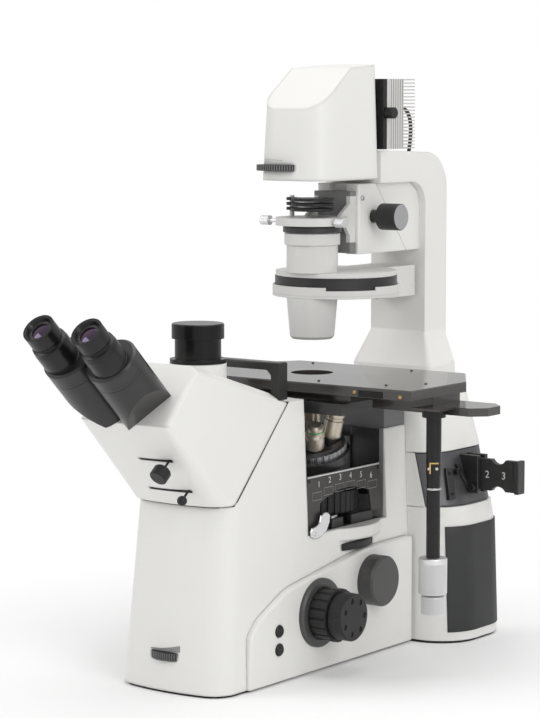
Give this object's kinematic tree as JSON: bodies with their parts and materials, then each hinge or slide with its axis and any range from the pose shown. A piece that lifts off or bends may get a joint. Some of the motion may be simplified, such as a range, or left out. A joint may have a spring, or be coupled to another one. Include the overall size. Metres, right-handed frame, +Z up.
{
  "type": "inverted microscope",
  "caption": "Inverted laboratory microscope: binocular head in front, moving stage over a revolving nosepiece, and a lamp arm with a turret condenser above.",
  "frame": {"origin": "foot of the optical axis on the desk, on the underside of the rubber base pad", "axes": "+X to the viewer's right when seated at the eyepieces, +Y away from the viewer towards the rear tower, +Z up along the optical axis"},
  "size_m": [0.409, 0.7341, 0.724],
  "materials": {
    "white_paint": "satin",
    "black_satin": "satin",
    "black_plastic": "matte",
    "grey_grip": "matte",
    "rubber": "matte",
    "dark_metal": "brushed",
    "aluminium": "machined",
    "steel": "polished",
    "glass": "coated",
    "cap_grey": "smooth",
    "objective_cream": "satin",
    "grey_paint": "satin"
  },
  "bodies": {
    "stand": {"base_pad": "rubber", "main_housing": "white_paint", "side_panels": "white_paint", "side_fittings": "cap_grey", "head_housing": "white_paint", "photo_tube": "black_satin", "photo_cap": "black_satin", "eyepiece_bases": "black_satin", "stage_guard": "black_satin", "tower_lower": "white_paint", "illuminator_ring": "dark_metal", "tower_upper": "white_paint", "stage_base": "grey_paint", "turret_post": "steel", "number_plate": "black_satin"},
    "arm": {"illumination_arm": "white_paint", "lamp_hood": "white_paint", "lamp_house": "aluminium", "lamp_cable": "rubber", "condenser_block": "white_paint"},
    "condenser": {"condenser_bracket": "white_paint", "condenser_barrel": "white_paint", "condenser_housing": "white_paint", "front_lens": "white_paint"},
    "condenser_turret": {"condenser_turret": "black_satin"},
    "condenser_focus_knob": {"condenser_focus_knob": "black_plastic"},
    "centring_screw_right": {"centring_screw_right": "steel"},
    "centring_screw_left": {"centring_screw_left": "steel"},
    "filter_lower": {"filter_lower": "black_plastic"},
    "filter_middle": {"filter_middle": "black_plastic"},
    "filter_upper": {"filter_upper": "black_plastic"},
    "field_dial": {"field_dial": "black_plastic"},
    "lamp_clamp_knob": {"lamp_clamp_knob": "black_plastic"},
    "coarse_knobs": {"coarse_knobs": "black_plastic"},
    "fine_knobs": {"fine_knobs": "black_plastic"},
    "push_button_lower": {"push_button_lower": "grey_paint"},
    "push_button_upper": {"push_button_upper": "grey_paint"},
    "brightness_wheel": {"brightness_wheel": "black_plastic"},
    "magnification_wheel": {"magnification_wheel": "black_plastic"},
    "light_path_knob": {"light_path_knob": "black_plastic"},
    "port_lever": {"port_lever": "steel"},
    "right_eyepiece_tube": {"right_eyepiece_tube": "black_satin"},
    "left_eyepiece_tube": {"left_eyepiece_tube": "black_satin"},
    "right_eyepiece": {"right_eyepiece": "black_plastic"},
    "left_eyepiece": {"left_eyepiece": "black_plastic"},
    "fluorescence_slider": {"fluorescence_slider": "dark_metal"},
    "stage_carriage": {"stage_carriage": "black_satin", "stage_handle": "black_satin"},
    "stage_plate": {"stage_plate": "black_satin", "stage_insert": "black_satin"},
    "handle_upper_knob": {"handle_upper_knob": "aluminium"},
    "handle_lower_knob": {"handle_lower_knob": "aluminium"},
    "nosepiece_carrier": {"nosepiece_carrier": "grey_paint"},
    "nosepiece": {"revolving_nosepiece": "aluminium", "objectives_long": "objective_cream", "objectives_short": "objective_cream"},
    "filter_turret": {"filter_turret": "black_plastic"}
  },
  "joints": [
    {"name": "arm_tilt", "type": "hinge", "parent": "stand", "child": "arm", "pos_m": [0, 0.226, 0.34], "axis": [-1, 0, 0], "range_deg": [0, 18]},
    {"name": "condenser_height", "type": "slide", "parent": "arm", "child": "condenser", "axis": [0, 0, 1], "range_m": [-0.03, 0.006]},
    {"name": "condenser_focus", "type": "hinge", "parent": "arm", "child": "condenser_focus_knob", "pos_m": [0.05, 0.086, 0.536], "axis": [1, 0, 0], "range_deg": [-170, 34]},
    {"name": "condenser_turret_turn", "type": "hinge", "parent": "condenser", "child": "condenser_turret", "pos_m": [0, 0.051, 0.4565], "axis": [0, 0, 1], "continuous": true},
    {"name": "centring_right_turn", "type": "hinge", "parent": "condenser", "child": "centring_screw_right", "pos_m": [0.045, -0.014, 0.5326], "axis": [1, 0, 0], "continuous": true},
    {"name": "centring_left_turn", "type": "hinge", "parent": "condenser", "child": "centring_screw_left", "pos_m": [-0.045, -0.014, 0.5326], "axis": [1, 0, 0], "continuous": true},
    {"name": "filter_lower_swing", "type": "hinge", "parent": "condenser", "child": "filter_lower", "pos_m": [-0.038, 0.01, 0.5468], "axis": [0, 0, -1], "range_deg": [0, 85]},
    {"name": "filter_middle_swing", "type": "hinge", "parent": "condenser", "child": "filter_middle", "pos_m": [-0.038, 0.01, 0.5528], "axis": [0, 0, -1], "range_deg": [0, 85]},
    {"name": "filter_upper_swing", "type": "hinge", "parent": "condenser", "child": "filter_upper", "pos_m": [-0.038, 0.01, 0.5588], "axis": [0, 0, -1], "range_deg": [0, 85]},
    {"name": "field_dial_turn", "type": "hinge", "parent": "arm", "child": "field_dial", "pos_m": [-0.018, -0.03, 0.5985], "axis": [0, 0, 1], "range_deg": [-45, 45]},
    {"name": "lamp_clamp_turn", "type": "hinge", "parent": "arm", "child": "lamp_clamp_knob", "pos_m": [0.05, 0.095, 0.664], "axis": [1, 0, 0], "continuous": true},
    {"name": "nosepiece_focus", "type": "slide", "parent": "stand", "child": "nosepiece_carrier", "axis": [0, 0, 1], "range_m": [-0.003, 0.007]},
    {"name": "coarse_focus_turn", "type": "hinge", "parent": "stand", "child": "coarse_knobs", "pos_m": [0, -0.099, 0.072], "axis": [1, 0, 0], "range_deg": [-30, 68]},
    {"name": "fine_focus_turn", "type": "hinge", "parent": "stand", "child": "fine_knobs", "pos_m": [0, -0.099, 0.072], "axis": [1, 0, 0], "continuous": true},
    {"name": "nosepiece_turn", "type": "hinge", "parent": "nosepiece_carrier", "child": "nosepiece", "pos_m": [0.00945, -0.02595, 0.25728], "axis": [0.0885, -0.2432, 0.9659], "continuous": true},
    {"name": "button_lower_press", "type": "slide", "parent": "stand", "child": "push_button_lower", "axis": [-1, 0, 0], "range_m": [0, 0.002], "stiffness_N_per_m": 400, "springref_m": -0.0005},
    {"name": "button_upper_press", "type": "slide", "parent": "stand", "child": "push_button_upper", "axis": [-1, 0, 0], "range_m": [0, 0.002], "stiffness_N_per_m": 400, "springref_m": -0.0005},
    {"name": "brightness_turn", "type": "hinge", "parent": "stand", "child": "brightness_wheel", "pos_m": [-0.002, -0.268, 0.043], "axis": [0, 0, 1], "range_deg": [-135, 135]},
    {"name": "magnification_turn", "type": "hinge", "parent": "stand", "child": "magnification_wheel", "pos_m": [0, -0.006, 0.1402], "axis": [0, 0, 1], "continuous": true},
    {"name": "light_path_shift", "type": "slide", "parent": "stand", "child": "light_path_knob", "axis": [-1, 0, 0], "range_m": [0, 0.038]},
    {"name": "port_shift", "type": "slide", "parent": "stand", "child": "port_lever", "axis": [-1, 0, 0], "range_m": [0, 0.052]},
    {"name": "right_tube_swing", "type": "hinge", "parent": "stand", "child": "right_eyepiece_tube", "pos_m": [0.031, -0.3532, 0.3338], "axis": [0, -0.7193, 0.6947], "range_deg": [-58, 90]},
    {"name": "left_tube_swing", "type": "hinge", "parent": "stand", "child": "left_eyepiece_tube", "pos_m": [-0.031, -0.3532, 0.3338], "axis": [0, -0.7193, 0.6947], "range_deg": [-90, 58]},
    {"name": "right_dioptre_turn", "type": "hinge", "parent": "right_eyepiece_tube", "child": "right_eyepiece", "pos_m": [0.0345, -0.35709, 0.32977], "axis": [0, -0.7193, 0.6947], "continuous": true},
    {"name": "left_dioptre_turn", "type": "hinge", "parent": "left_eyepiece_tube", "child": "left_eyepiece", "pos_m": [-0.0345, -0.35709, 0.32977], "axis": [0, -0.7193, 0.6947], "continuous": true},
    {"name": "fluorescence_shift", "type": "slide", "parent": "stand", "child": "fluorescence_slider", "axis": [-1, 0, 0], "range_m": [0, 0.038]},
    {"name": "stage_depth", "type": "slide", "parent": "stand", "child": "stage_carriage", "axis": [0, 1, 0], "range_m": [-0.03, 0.03]},
    {"name": "stage_width", "type": "slide", "parent": "stage_carriage", "child": "stage_plate", "axis": [1, 0, 0], "range_m": [-0.057, 0.057]},
    {"name": "stage_depth_knob_turn", "type": "hinge", "parent": "stage_carriage", "child": "handle_upper_knob", "pos_m": [0.211, -0.05, 0.124], "axis": [0, 0, 1], "range_deg": [-338, 338]},
    {"name": "stage_width_knob_turn", "type": "hinge", "parent": "stage_carriage", "child": "handle_lower_knob", "pos_m": [0.211, -0.05, 0.09], "axis": [0, 0, 1], "range_deg": [-642, 642]},
    {"name": "filter_turret_turn", "type": "hinge", "parent": "stand", "child": "filter_turret", "pos_m": [0, 0, 0.191], "axis": [0, 0, 1], "continuous": true}
  ],
  "couplings": [
    {"joint": "condenser_focus", "follows": "condenser_height", "rad_per_m": 95.993},
    {"joint": "coarse_focus_turn", "follows": "nosepiece_focus", "rad_per_m": 164.56},
    {"joint": "left_tube_swing", "follows": "right_tube_swing", "ratio": -1},
    {"joint": "stage_depth_knob_turn", "follows": "stage_depth", "rad_per_m": 196.35},
    {"joint": "stage_width_knob_turn", "follows": "stage_width", "rad_per_m": 196.35}
  ]
}
